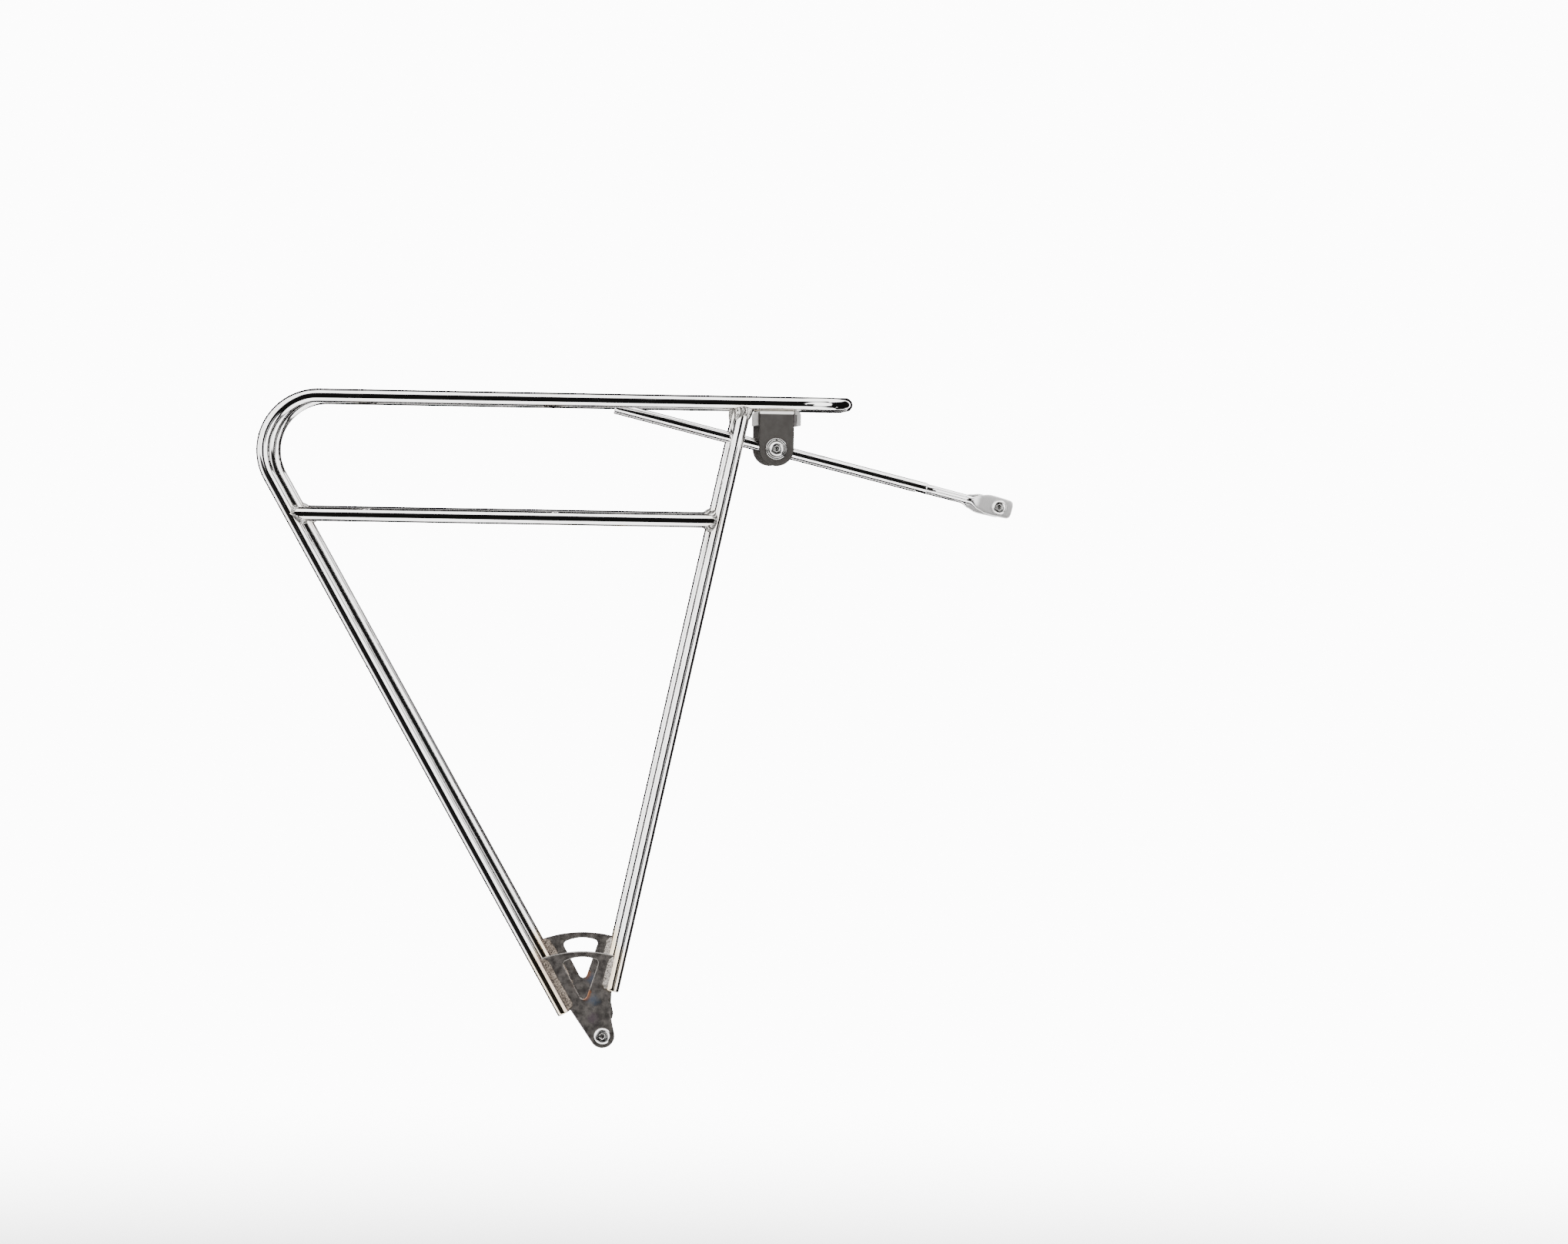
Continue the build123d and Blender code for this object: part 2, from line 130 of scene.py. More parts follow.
PLATE_BEADS = {
    "rear": {"reach": (3.9 * MM, 2.4 * MM), "bulge": 0.06, "heat": 0.9, "ripple": 0.45},
    "front": {"reach": (3.0 * MM, 2.0 * MM), "bulge": -0.04, "heat": 0.7, "ripple": 0.15},
}
SEAM_BEAD = (1.6 * MM, 1.6 * MM)
SEAM_INSET = 1.2 * MM           # from the rail's middle line
SEAM_ENDS = (4 * MM, 5 * MM)    # bare sheet behind and in front of the seam
HEAT_REACH = 12 * MM            # how far heat colours go from a weld


# ------------------------------------------------------------------ places from the frame


def centre(node):
    """Middle of a CAD node's box."""
    low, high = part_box(node)
    return np.array((low + high) / 2)


def at(x, y, z):
    return np.array((x, y, z), float)


def unit(vector):
    return vector / np.linalg.norm(vector)


def each_unit(vectors):
    return vectors / np.linalg.norm(vectors, axis=1, keepdims=True)


def on_line(start, end, z):
    """Point at a height on the line through two points."""
    return start + (end - start) * ((z - start[2]) / (end[2] - start[2]))


cross_low, cross_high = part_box("cross_tube_middle")
tube_r = (cross_high.z - cross_low.z) / 2
deck_z = centre("cross_tube_middle")[2]
rail_y = cross_high.y
main_low, main_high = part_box("main_tube")
nose_x = main_high.x - tube_r
plate_low, plate_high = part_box("dropout_plate_left")
plate_y = (plate_low.y + plate_high.y) / 2
rear_bend_x = main_low.x + tube_r + REAR_BEND_R
rear_bend_z = deck_z - REAR_BEND_R
lower_rail_z = centre("lower_rail_left")[2]
clamp = centre("clamp_washer_left")
stay_y = centre("stay_bar_left")[1]
bracket_low, bracket_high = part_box("stay_bracket")

# The rear leg is the common tangent of its bend and of a circle round the dropout bolt.
lean = math.atan2(-rear_bend_x, rear_bend_z) + math.asin(
    (REAR_BEND_R - REAR_LEG_OFFSET) / math.hypot(rear_bend_x, rear_bend_z)
)
rear_corner_x = -(REAR_LEG_OFFSET + math.sin(lean) * deck_z) / math.cos(lean)
rear_end_x = -REAR_LEG_OFFSET * math.cos(lean) - REAR_LEG_RISE * math.sin(lean)
rear_end_z = -REAR_LEG_OFFSET * math.sin(lean) + REAR_LEG_RISE * math.cos(lean)

# Corners of the bent tubes, on the right side first
main_corners = [
    at(rear_end_x, -plate_y, rear_end_z),
    at(rear_corner_x, -rail_y, deck_z),
    at(nose_x, -rail_y, deck_z),
    at(nose_x, rail_y, deck_z),
    at(rear_corner_x, rail_y, deck_z),
    at(rear_end_x, plate_y, rear_end_z),
]
front_leg_bottom = at(FRONT_LEG_END[0], -plate_y, FRONT_LEG_END[1])
front_leg_top = at(FRONT_LEG_TOP_X, LEG_TOP_INSET - rail_y, deck_z)
crank_x = on_line(front_leg_bottom, front_leg_top, CRANK_Z)[0]
front_corners = [front_leg_bottom, at(crank_x, -CRANK_Y, CRANK_Z), front_leg_top]


# ------------------------------------------------------------------ materials


# Base colours, linear
STRAW = (0.74, 0.63, 0.46)
BROWN = (0.36, 0.27, 0.23)
WELD_CLEAN = (0.64, 0.62, 0.59)
WELD_SCORCHED = (0.15, 0.124, 0.103)
WELD_SOOT = (0.02, 0.017, 0.015)
PLATE_DARK = (0.056, 0.051, 0.048)
PLATE_LIGHT = (0.128, 0.118, 0.11)
# Painted highlight on the plates' side-facing edges
PLATE_EDGE_HIGHLIGHT = (0.78, 0.75, 0.72)
PLATE_PIT = (0.023, 0.02, 0.02)
SHEET_DARK = (0.073, 0.068, 0.064)
SHEET_LIGHT = (0.09, 0.085, 0.08)
SHEET_RUBBED = (0.051, 0.047, 0.044)
# Painted shade on the tabs' slanted rims
SHEET_RIM_SHADE = (0.03, 0.028, 0.027)
# Painted highlight on the upward-facing fold along the tabs' top
SHEET_FOLD_HIGHLIGHT = (0.78, 0.77, 0.75)
SHEET_LIP = (0.76, 0.75, 0.73)
TURNED_BRIGHT = (0.80, 0.79, 0.77)
TURNED_DULL = (0.62, 0.61, 0.60)
TURNED_DIRT = (0.16, 0.14, 0.13)

# Stains on a plate: X and Z of the middle and reach in millimetres, colour, and strength
STAINS = (
    ((-8.8, 23.6), 3.9, (0.36, 0.135, 0.035), 0.9),         # rust at the window's foot
    ((-5.8, 21.2), 5.4, (0.07, 0.092, 0.133), 0.7),         # blue beside the rust
    ((3.5, 30.0), 6.5, (0.117, 0.09, 0.058), 0.5),          # straw along the front leg
    ((-6.0, 10.5), 5.0, (0.098, 0.068, 0.092), 0.5),        # purple above the eyelet
    ((-14.5, 30.0), 7.5, (0.086, 0.066, 0.053), 0.6),       # brown along the rear leg
)
STAIN_RAGGED = 9 * MM           # how far a stain's edge wanders
SATIN = 0.28                    # how much rougher the flattened lugs are than a polished bar
LATHE_GROOVES = 24000           # fine rings of a turned face, in radians per metre
RUBBED_ARCS = 7200              # rings rubbed into the tabs, in radians per metre
RUBBED_R = (10 * MM, 6.5 * MM)  # where they start, and where they are at full strength


class Nodes:
    """Adds nodes to a node tree. All but add and give return the socket with the result."""

    def __init__(self, tree):
        self.tree = tree

    def add(self, kind, **settings):
        made = self.tree.nodes.new(kind)
        for key, value in settings.items():
            setattr(made, key, value)
        return made

    def give(self, socket, value):
        if isinstance(value, bpy.types.NodeSocket):
            self.tree.links.new(value, socket)
        else:
            socket.default_value = value

    def fill(self, made, values, output=0):
        for socket, value in zip(made.inputs, values):
            self.give(socket, value)
        return made.outputs[output]

    def math(self, operation, *values):
        return self.fill(self.add("ShaderNodeMath", operation=operation), values)

    def plus(self, a, b):
        return self.math("ADD", a, b)

    def minus(self, a, b):
        return self.math("SUBTRACT", a, b)

    def times(self, a, b):
        return self.math("MULTIPLY", a, b)

    def vector(self, operation, *values, output="Vector"):
        return self.fill(self.add("ShaderNodeVectorMath", operation=operation), values, output)

    def distance(self, a, b):
        return self.vector("DISTANCE", a, b, output="Value")

    def dot(self, a, b):
        return self.vector("DOT_PRODUCT", a, b, output="Value")

    def part(self, vector, axis):
        """The X, Y or Z of a vector."""
        return self.fill(self.add("ShaderNodeSeparateXYZ"), (vector,), axis)

    def coordinate(self, kind="Object"):
        return self.add("ShaderNodeTexCoord").outputs[kind]

    def attribute(self, name, output="Fac"):
        return self.add("ShaderNodeAttribute", attribute_name=name).outputs[output]

    def noise(self, place, scale, detail=3.0, roughness=0.55):
        made = self.add("ShaderNodeTexNoise")
        self.give(made.inputs["Vector"], place)
        made.inputs["Scale"].default_value = scale
        made.inputs["Detail"].default_value = detail
        made.inputs["Roughness"].default_value = roughness
        return made.outputs["Fac"]

    def streaks(self, place, scales, detail):
        """Noise with its own scale along each axis."""
        return self.noise(self.vector("MULTIPLY", place, scales), 1.0, detail)

    def spread(self, value, low, high, to_low=0.0, to_high=1.0):
        """Moves a value smoothly from one range to another, and holds it there."""
        made = self.add("ShaderNodeMapRange", interpolation_type="SMOOTHSTEP")
        return self.fill(made, (value, low, high, to_low, to_high))

    def blend(self, share, first, second):
        made = self.add("ShaderNodeMix", data_type="RGBA")
        self.give(made.inputs["Factor"], share)
        for name, value in (("A", first), ("B", second)):
            socket = [s for s in made.inputs if s.name == name and s.type == "RGBA"][0]
            self.give(socket, value if isinstance(value, bpy.types.NodeSocket) else (*value, 1))
        return [s for s in made.outputs if s.type == "RGBA"][0]

    def bump(self, height, distance, before=None):
        """Normal that follows a height of 0 to 1, over a distance in metres."""
        made = self.add("ShaderNodeBump")
        made.inputs["Distance"].default_value = distance
        self.give(made.inputs["Height"], height)
        if before is not None:
            self.give(made.inputs["Normal"], before)
        return made.outputs["Normal"]


def metal(name):
    """A new metal: its material, its nodes and its shader."""
    material = bpy.data.materials.new(name)
    material.use_nodes = True
    shader = material.node_tree.nodes["Principled BSDF"]
    shader.inputs["Metallic"].default_value = 1.0
    return material, Nodes(material.node_tree), shader


def finish_metal(nodes, shader, colour, roughness, normal):
    nodes.give(shader.inputs["Base Color"], colour)
    nodes.give(shader.inputs["Roughness"], roughness)
    nodes.give(shader.inputs["Normal"], normal)


def polished_steel(name, bright, dull, smooth, worn):
    """Mirror-polished bar or tube: fine scratches along it, faint smudges, heat at the welds.

    The attribute scorch is the heat at each point, and satin is how dull a lug's finish is.
    """
    material, nodes, shader = metal(name)
    grain = nodes.attribute("grain", "Vector")
    heat = nodes.attribute("scorch")
    scratches = nodes.streaks(grain, (25, 3500, 3500), 2.0)
    smudges = nodes.streaks(grain, (70, 160, 160), 4.0)
    waves = nodes.streaks(grain, (60, 220, 220), 1.0)
    colour = nodes.blend(nodes.spread(smudges, 0.35, 0.75), bright, dull)
    colour = nodes.blend(nodes.spread(heat, 0.05, 0.55), colour, STRAW)
    colour = nodes.blend(nodes.spread(heat, 0.45, 0.85), colour, BROWN)
    rough = nodes.plus(smooth, nodes.spread(smudges, 0.45, 0.8, 0.0, worn))
    rough = nodes.plus(rough, nodes.spread(scratches, 0.55, 0.8, 0.0, 0.05))
    rough = nodes.plus(rough, nodes.spread(heat, 0.2, 1.0, 0.0, 0.06))
    rough = nodes.plus(rough, nodes.times(nodes.attribute("satin"), SATIN))
    normal = nodes.bump(scratches, 0.0012 * MM)
    normal = nodes.bump(waves, 0.05 * MM, normal)
    finish_metal(nodes, shader, colour, rough, normal)
    return material


def weld_metal(name):
    """Brushed-off weld: bright crests and dark, rough hollows, browner where it was hotter.

    The attribute hollow is 1 at the bottom between two ripples, and scorch is the bead's heat.
    """
    material, nodes, shader = metal(name)
    place = nodes.coordinate()
    specks = nodes.noise(place, 1500, 3.0, 0.6)
    patches = nodes.noise(place, 520, 3.0)
    hollow = nodes.spread(nodes.attribute("hollow"), 0.2, 0.65)
    dirt = nodes.times(hollow, nodes.spread(patches, 0.32, 0.55))
    soot = nodes.math("MAXIMUM", dirt, nodes.spread(specks, 0.5, 0.62, 0.0, 0.95))
    heat = nodes.spread(nodes.attribute("scorch"), 0.3, 0.9)
    colour = nodes.blend(soot, nodes.blend(heat, WELD_CLEAN, WELD_SCORCHED), WELD_SOOT)
    rough = nodes.plus(nodes.spread(patches, 0.3, 0.7, 0.2, 0.36), nodes.times(soot, 0.3))
    normal = nodes.bump(specks, 0.12 * MM)
    normal = nodes.bump(patches, 0.25 * MM, normal)
    finish_metal(nodes, shader, colour, rough, normal)
    return material


def plate_steel(name, sign):
    """Ground plate: mottled and pitted, with a painted highlight on its side-facing edges, stained by
    the welds' heat.
    """
    material, nodes, shader = metal(name)
    place = nodes.coordinate()
    clouds = nodes.noise(place, 260, 6.0, 0.7)
    grit = nodes.streaks(place, (900, 900, 2600), 3.0)
    pits = nodes.noise(place, 900, 2.0)
    # Painted highlight: faces turned away from Y, the plate's edges, are painted bright and made
    # smoother
    facing = nodes.math("ABSOLUTE", nodes.part(nodes.coordinate("Normal"), "Y"))
    edge = nodes.spread(facing, 0.8, 0.4)
    colour = nodes.blend(nodes.spread(clouds, 0.3, 0.72), PLATE_DARK, PLATE_LIGHT)
    colour = nodes.blend(edge, colour, PLATE_EDGE_HIGHLIGHT)
    ragged = nodes.times(nodes.minus(clouds, 0.5), STAIN_RAGGED)
    for (x, z), reach, tint, strength in STAINS:
        away = nodes.distance(place, (x * MM, sign * plate_y, z * MM))
        away = nodes.plus(away, ragged)
        near = nodes.spread(away, reach * MM, 0.2 * reach * MM, 0.0, strength)
        colour = nodes.blend(near, colour, tint)
    colour = nodes.blend(nodes.spread(pits, 0.62, 0.76, 0.0, 0.35), colour, PLATE_PIT)
    rough = nodes.minus(nodes.spread(clouds, 0.3, 0.7, 0.4, 0.56), nodes.times(edge, 0.2))
    normal = nodes.bump(grit, 0.012 * MM)
    normal = nodes.bump(pits, 0.05 * MM, normal)
    finish_metal(nodes, shader, colour, rough, normal)
    return material


def sheet_steel(name):
    """Brushed dark sheet, rubbed in circles round the clamp bolts.

    Painted shade on the tabs' rims, painted highlight on the fold along their top. The lips beside
    them are bright.
    """
    material, nodes, shader = metal(name)
    place = nodes.coordinate()
    brushed = nodes.streaks(place, (700, 7000, 7000), 2.0)
    clouds = nodes.noise(place, 160, 4.0)
    colour = nodes.blend(nodes.spread(clouds, 0.3, 0.7), SHEET_DARK, SHEET_LIGHT)

    side_view = nodes.vector("MULTIPLY", place, (1, 0, 1))
    away = nodes.distance(side_view, (clamp[0], 0, clamp[2]))
    wobble = nodes.times(nodes.minus(clouds, 0.5), 1.5 * MM)
    arcs = nodes.math("SINE", nodes.times(nodes.plus(away, wobble), RUBBED_ARCS))
    rubbed = nodes.times(nodes.spread(away, *RUBBED_R), nodes.spread(arcs, -1, 1))
    colour = nodes.blend(nodes.times(rubbed, 0.4), colour, SHEET_RUBBED)

    normal = nodes.coordinate("Normal")
    facing = nodes.math("ABSOLUTE", nodes.part(normal, "Y"))
    rising = nodes.part(normal, "Z")
    # Painted shade: the tabs' slanted, sideways-facing rims are painted dark
    rim_shade = nodes.times(nodes.spread(facing, 0.35, 0.5), nodes.spread(facing, 0.97, 0.9))
    rim_shade = nodes.times(rim_shade, nodes.spread(rising, 0.3, 0.1))
    colour = nodes.blend(nodes.times(rim_shade, 0.85), colour, SHEET_RIM_SHADE)
    # Painted highlight: faces turned upwards, the fold along the tabs' top, are painted bright
    colour = nodes.blend(nodes.spread(rising, 0.15, 0.4), colour, SHEET_FOLD_HIGHLIGHT)

    beside = nodes.math("ABSOLUTE", nodes.minus(nodes.part(place, "X"), clamp[0]))
    lip = nodes.spread(beside, TAB_HALF_WIDTH + 0.2 * MM, TAB_HALF_WIDTH + 0.8 * MM)
    colour = nodes.blend(lip, colour, SHEET_LIP)

    rough = nodes.plus(0.5, nodes.spread(brushed, 0.3, 0.7, 0.0, 0.04))
    normal = nodes.bump(brushed, 0.0003 * MM)
    normal = nodes.bump(rubbed, 0.006 * MM, normal)
    finish_metal(nodes, shader, colour, rough, normal)
    return material


def turned_steel(name, middle=None):
    """Lathe-turned fastener: fine rings round its axis, a little dirt in the low places.

    The rings follow the mesh's own grain, or the distance from a point in the side view.
    """
    material, nodes, shader = metal(name)
    place = nodes.coordinate()
    if middle is None:
        steps = nodes.part(nodes.attribute("grain", "Vector"), "X")
    else:
        side_view = nodes.vector("MULTIPLY", place, (1, 0, 1))
        steps = nodes.distance(side_view, (middle[0], 0, middle[2]))
    clouds = nodes.noise(place, 700, 3.0)
    bands = nodes.noise(place, 260, 3.0)
    rings = nodes.math("SINE", nodes.times(steps, LATHE_GROOVES))
    colour = nodes.blend(nodes.spread(bands, 0.3, 0.7), TURNED_BRIGHT, TURNED_DULL)
    colour = nodes.blend(nodes.spread(clouds, 0.64, 0.76, 0.0, 0.75), colour, TURNED_DIRT)
    rough = nodes.spread(bands, 0.3, 0.7, 0.12, 0.26)
    normal = nodes.bump(rings, 0.004 * MM)
    normal = nodes.bump(clouds, 0.03 * MM, normal)
    finish_metal(nodes, shader, colour, rough, normal)
    return material


# Each polished steel: bright and dull colour, roughness, and how much smudges add to it
tube_steel = polished_steel("polished_tube_steel", (0.84, 0.83, 0.82), (0.72, 0.71, 0.70), 0.05, 0.07)
stay_bar_steel = polished_steel("stay_bar_steel", (0.82, 0.81, 0.80), (0.68, 0.67, 0.66), 0.07, 0.09)
stay_end_steel = polished_steel("stay_end_steel", (0.82, 0.81, 0.80), (0.62, 0.61, 0.61), 0.12, 0.12)
bead_steel = weld_metal("weld_bead_steel")
bolt_steel = turned_steel("turned_bolt_steel")
clamp_steel = turned_steel("turned_clamp_steel", clamp)
bracket_steel = sheet_steel("brushed_sheet_steel")
plate_steels = {side: plate_steel(f"ground_plate_steel_{side}", sign) for side, sign in SIDES}


# ------------------------------------------------------------------ meshes


def add_piece(name, verts, faces, material, body, replaces=()):
    """Smooth object made of points and faces, with its faces outwards, on a CAD body."""
    mesh = bpy.data.meshes.new(name)
    mesh.from_pydata([tuple(v) for v in verts], [], faces)
    mesh.materials.append(material)
    work = bmesh.new()
    work.from_mesh(mesh)
    bmesh.ops.recalc_face_normals(work, faces=work.faces)
    work.to_mesh(mesh)
    work.free()
    mesh.polygons.foreach_set("use_smooth", [True] * len(mesh.polygons))
    piece = bpy.data.objects.new(name, mesh)
    bpy.context.scene.collection.objects.link(piece)
    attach(piece, body)
    if replaces:
        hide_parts(*replaces)
    return piece


def store(piece, name, values, kind="FLOAT"):
    """Keeps a number or a vector for each point of a mesh, for its material to read."""
    layer = piece.data.attributes.new(name, kind, "POINT")
    field = "vector" if kind == "FLOAT_VECTOR" else "value"
    layer.data.foreach_set(field, np.asarray(values, np.float32).ravel())


def skin(name, rings, material, body, replaces=(), closed=False):
    """Mesh over a row of rings. A closed row joins up, and an open one is capped at each end.

    The attribute grain is each point's place on the piece as if it were straight: X along the
    rings, Y and Z round them.
    """
    rings = np.asarray(rings)
    count, sides = rings.shape[:2]
    steps = np.linalg.norm(np.diff(rings[:, 0], axis=0), axis=1)
    turns = 2 * math.pi * np.arange(sides) / sides
    girth = np.linalg.norm(rings[count // 2] - rings[count // 2].mean(axis=0), axis=1).mean()
    grain = np.zeros((count, sides, 3))
    grain[:, :, 0] = np.concatenate(([0], np.cumsum(steps)))[:, None]
    grain[:, :, 1] = girth * np.cos(turns)
    grain[:, :, 2] = girth * np.sin(turns)
    verts, grain = rings.reshape(-1, 3), grain.reshape(-1, 3)
    faces = []
    for i in range(count if closed else count - 1):
        here, there = i * sides, ((i + 1) % count) * sides
        for k in range(sides):
            n = (k + 1) % sides
            faces.append((here + k, here + n, there + n, there + k))
    if not closed:
        for first, order in ((0, -1), ((count - 1) * sides, 1)):
            middle = len(verts)
            verts = np.vstack((verts, rings[first // sides].mean(axis=0)))
            grain = np.vstack((grain, (grain[first][0], 0, 0)))
            loop = [first + k for k in range(sides)][::order]
            faces.extend((loop[k - 1], loop[k], middle) for k in range(sides))
    piece = add_piece(name, verts, faces, material, body, replaces)
    store(piece, "grain", grain, "FLOAT_VECTOR")
    return piece


def keep_creases(piece, degrees):
    """Keeps the creases of a smooth mesh crisp where it turns by more than an angle."""
    piece.data.set_sharp_from_angle(angle=math.radians(degrees))


# ------------------------------------------------------------------ routes and rings


def rounded_route(corners, radii):
    """Points along straight runs joined by tangent arcs, close enough for a smooth tube."""
    points = []

    def run(a, b):
        count = max(2, round(np.linalg.norm(b - a) / RING_STEP))
        points.extend(a + (b - a) * i / count for i in range(count))

    last = corners[0]
    for before, corner, after, radius in zip(corners, corners[1:], corners[2:], radii):
        arriving, leaving = unit(corner - before), unit(after - corner)
        turn = math.acos(arriving @ leaving)
        reach = radius * math.tan(turn / 2)
        start = corner - arriving * reach
        middle = corner + unit(leaving - arriving) * radius / math.cos(turn / 2)
        run(last, start)
        steps = max(6, round(math.degrees(turn) / 3))
        for angle in turn * np.arange(steps) / steps:
            side = (start - middle) * math.cos(angle)
            points.append(middle + side + arriving * radius * math.sin(angle))
        last = corner + leaving * reach
    run(last, corners[-1])
    return np.array([*points, corners[-1]])


def directions(points, closed=False):
    """Unit direction of a route at each of its points."""
    if closed:
        return each_unit(np.roll(points, -1, axis=0) - np.roll(points, 1, axis=0))
    return each_unit(np.gradient(points, axis=0))


def rings_along(points, radius):
    """Circles round a route that don't twist from one to the next."""
    turns = 2 * math.pi * np.arange(TUBE_SIDES) / TUBE_SIDES
    along = directions(points)
    side = unit(np.cross(along[0], (0.3, 0.2, 1)))
    rings = []
    for point, way in zip(points, along):
        side = unit(side - way * (side @ way))
        up = np.cross(way, side)
        rings.append(point + radius * (np.outer(np.cos(turns), side) + np.outer(np.sin(turns), up)))
    return rings


def closed_end(ring, out, edge_r):
    """Rings that close a round bar at its last ring, with a rounded edge."""
    tip = ring.mean(axis=0)
    radius = np.linalg.norm(ring[0] - tip)
    rings = []
    for turn in np.radians(np.linspace(0, 90, END_RINGS)):
        share = 1 - edge_r * (1 - math.cos(turn)) / radius
        rings.append(tip + (ring - tip) * share - out * edge_r * (1 - math.sin(turn)))
    return rings


def closed_bar(points, radius, edge_r):
    """Rings of a round bar along a route, closed at both ends."""
    rings = rings_along(points, radius)
    along = directions(points)
    first = closed_end(rings[0], -along[0], edge_r)[::-1]
    return first + rings[1:-1] + closed_end(rings[-1], along[-1], edge_r)


def coped(ring, away, line, radius):
    """Slides a ring's points along a direction until they leave a tube round a line."""
    start, way = line[0], unit(line[1])
    offset = ring - start
    offset = offset - np.outer(offset @ way, way)
    step = away - way * (away @ way)
    reach = offset @ step
    inside = reach ** 2 - (step @ step) * ((offset ** 2).sum(axis=1) - radius ** 2)
    distance = (np.sqrt(np.maximum(inside, 0)) - reach) / (step @ step)
    return ring + np.outer(distance, away)


def mirrored(points, sign):
    """Points drawn on the right side (-1), or mirrored to the left (1)."""
    return np.array(points) * (1, -sign, 1)


# ------------------------------------------------------------------ welds

weld_lines = []                 # each bead's path and heat, for the heat colours


def near_tube(line):
    """Function from points to the nearest points of a tube's outside and the normals there."""
    start, way = line[0], unit(line[1])

    def nearest(points):
        foot = start + np.outer((points - start) @ way, way)
        normals = each_unit(points - foot)
        return foot + normals * tube_r, normals

    return nearest


def near_plane(origin, normal):
    """The same for a flat face."""

    def nearest(points):
        foot = points - np.outer((points - origin) @ normal, normal)
        return foot, np.tile(normal, (len(points), 1))

    return nearest


def evenly(points, step, closed):
    """A path with its points evenly spaced, and the distance along it of each."""
    line = np.vstack((points, points[:1])) if closed else points
    marks = np.concatenate(([0], np.cumsum(np.linalg.norm(np.diff(line, axis=0), axis=1))))
    count = max(8, round(marks[-1] / step))
    places = np.linspace(0, marks[-1], count, endpoint=not closed)
    return np.stack([np.interp(places, marks, line[:, i]) for i in range(3)], axis=1), places


def wander(points, scale):
    """Smooth noise at each point, from -1 to 1."""
    return np.array([noise.noise(Vector(p) * scale) for p in points])


def bead(
    name, path, away, surfaces, reach, bulge=0.1, closed=True, wedge=False, heat=0.3, ripple=1.0
):
    """Weld bead with crescent ripples, in the corner between two surfaces.

    Away is the direction along the first surface, away from the second. A wedge is a bead
    between two faces that part slowly, as a tube lying on a sheet. Reach is how far the bead
    goes on each surface, bulge is its crown, and ripple is how strong its ripples are.
    """
    path, places = evenly(np.array(path), BEAD_STEP, closed)
    weld_lines.append((path, heat))
    total = places[-1] + (BEAD_STEP if closed else 0)
    ripples = max(1, round(total / BEAD_PITCH))
    hand = wander(path, BEAD_HAND)
    size = 1 + BEAD_UNEVEN * hand
    if not closed:
        room = np.minimum(places, places[-1] - places)
        size = size * np.sqrt(np.clip(room / BEAD_TAPER, 0.04, 1))
    along = directions(path, closed)
    first_normal, second_normal = surfaces[0](path)[1], surfaces[1](path)[1]
    if not wedge:
        flush = np.clip((first_normal * second_normal).sum(axis=1), 0, 1)
        size = size * (1 - BEAD_FLUSH * flush ** 2)

    # Directions away from the corner along each surface, and out of it between them
    first_way = np.tile(unit(away), (len(path), 1))
    second_way = each_unit(np.cross(along, second_normal))
    hint = first_way if wedge else first_normal - 0.5 * first_way
    second_way = second_way * np.sign((second_way * hint).sum(axis=1))[:, None]
    out = first_way if wedge else each_unit(first_normal + second_normal)

    first_toe, first_in = surfaces[0](path + first_way * (reach[0] * size)[:, None])
    second_toe, second_in = surfaces[1](path + second_way * (reach[1] * size)[:, None])
    first_toe, second_toe = first_toe - first_in * BEAD_SUNK, second_toe - second_in * BEAD_SUNK
    crown = (first_toe + second_toe) / 2 + out * (bulge * sum(reach) * size)[:, None]
    section, hollow = [], []
    for share in np.linspace(0, 1, BEAD_ROWS):
        rest = 1 - share
        row = rest ** 2 * first_toe + 2 * share * rest * crown + share ** 2 * second_toe
        phase = places / total * ripples - BEAD_CRESCENT * 4 * share * rest + BEAD_WOBBLE * hand
        wave = (0.5 + 0.5 * np.cos(2 * math.pi * phase)) ** 0.7
        rough = wander(row, BEAD_GRAIN)
        height = BEAD_RIPPLE * (wave - 0.5) + BEAD_ROUGHNESS * rough
        height = ripple * math.sin(math.pi * share) ** 0.5 * height
        section.append(row + out * (height * np.minimum(size, 1))[:, None])
        hollow.append(ripple * np.clip(1 - wave - 0.35 * rough, 0, 1))
    for toe in (second_toe, first_toe):
        section.append(toe + (path - out * BEAD_ROOT - toe) * 0.7)
        hollow.append(np.zeros(len(path)))
    rings = np.stack(section, axis=1)
    # No bead stands above the deck
    rings[:, :, 2] = np.minimum(rings[:, :, 2], deck_z + tube_r - 0.01 * MM)
    piece = skin(name, rings, bead_steel, "rack", closed=closed)

    low_places = np.stack(hollow, axis=1).ravel()
    caps = len(piece.data.vertices) - len(low_places)
    store(piece, "hollow", np.concatenate((low_places, np.zeros(caps))))
    store(piece, "scorch", np.full(len(piece.data.vertices), heat))


def saddle_bead(name, ring, away, branch, trunk, reach):
    """Bead all round the end of one tube where it meets another."""
    path = coped(ring, away, trunk, math.hypot(tube_r, BEAD_KINK_R))
    bead(name, path, away, (near_tube(branch), near_tube(trunk)), reach)


# ------------------------------------------------------------------ tubes


def straight_rings(start, end):
    """Rings of a straight tube between two points."""
    count = max(2, round(np.linalg.norm(end - start) / RING_STEP))
    shares = np.linspace(0, 1, count + 1)[:, None]
    return rings_along(start + (end - start) * shares, tube_r)


def coped_end(ring, away, trunk):
    """The last two rings of a tube coped to another, from inside that tube to outside it."""
    return [coped(ring, away, trunk, tube_r + depth) for depth in (-COPE_STEP, COPE_STEP)]


